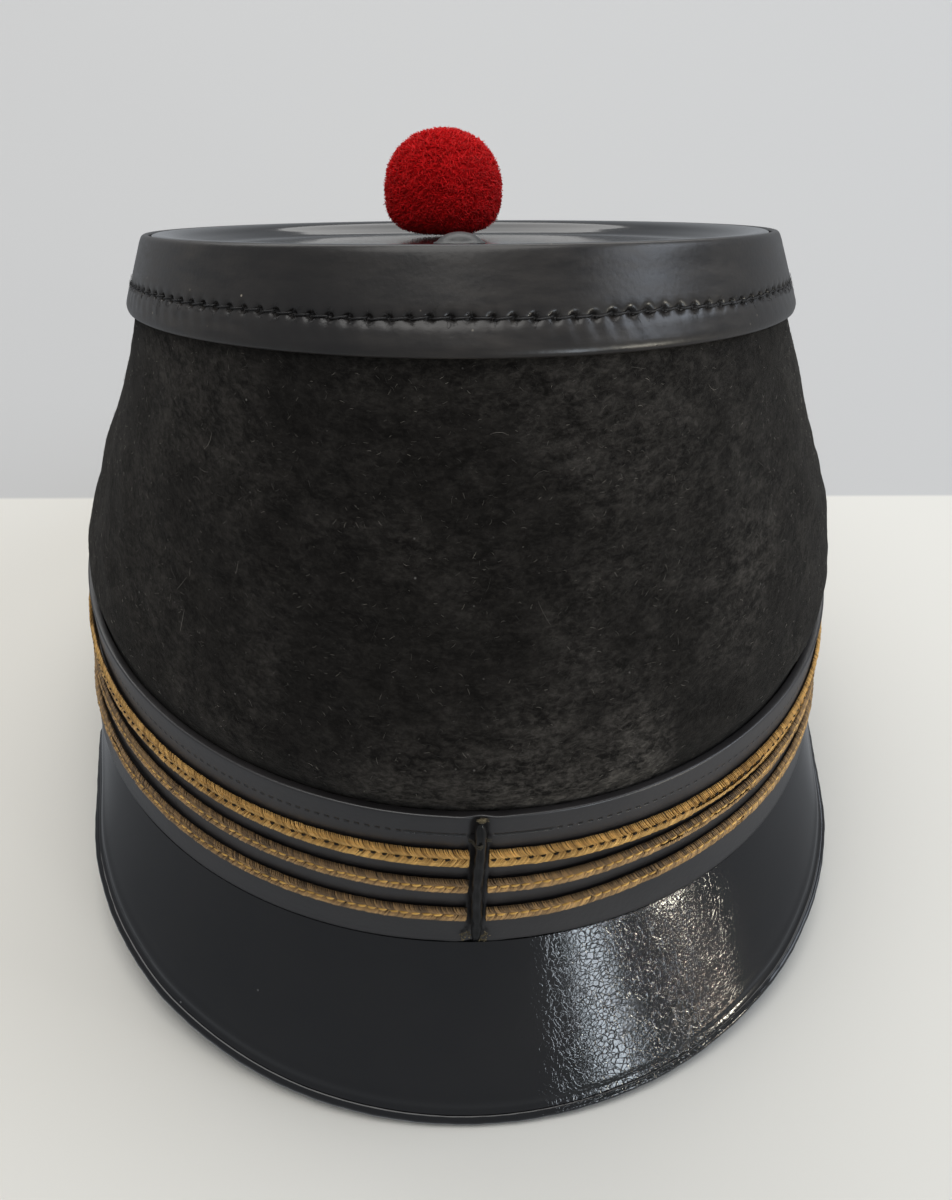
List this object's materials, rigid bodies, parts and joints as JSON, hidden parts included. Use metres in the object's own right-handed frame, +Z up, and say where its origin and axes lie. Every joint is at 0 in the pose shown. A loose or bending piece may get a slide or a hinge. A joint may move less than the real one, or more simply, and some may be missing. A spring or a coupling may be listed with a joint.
{
  "type": "shako",
  "caption": "Black felt shako with a leather crown, a leather band with gold braid, a deep glossy peak and a red wool pompom, open below for a head.",
  "frame": {"origin": "centre of the hat's bounding box, on the surface it rests on", "axes": "+Y along the hat's length toward the pompom, with the peak toward -Y; +Z up; the hat is tipped 10.8 degrees about X so that it rests on its peak and on the far edge of its band"},
  "size_m": [0.172, 0.2236, 0.1638],
  "materials": {
    "black_felt": "matt pressed wool felt with loose pale fibres",
    "skirt_leather": "smooth black leather with a soft shine",
    "patent_leather": "glossy black varnished leather, finely crackled",
    "button_paint": "dark grey leather cover, slightly worn",
    "band_leather": "smooth blue-black leather, satin",
    "bright_gold_braid": "bright gold thread in a flat woven chevron",
    "dull_gold_braid": "tarnished gold thread in a flat woven chevron",
    "keeper_leather": "rolled black leather with worn ends",
    "red_wool": "deep red wool pile"
  },
  "bodies": {
    "root": {"crown_body": "black_felt", "crown_skirt": "skirt_leather", "crown_top": "patent_leather", "vent_button": "button_paint", "band": "band_leather", "braid_upper": "bright_gold_braid", "braid_middle": "dull_gold_braid", "braid_lower": "dull_gold_braid", "seam_keeper": "keeper_leather", "peak": "patent_leather", "peak_binding": "patent_leather", "pompom": "red_wool"}
  },
  "joints": []
}
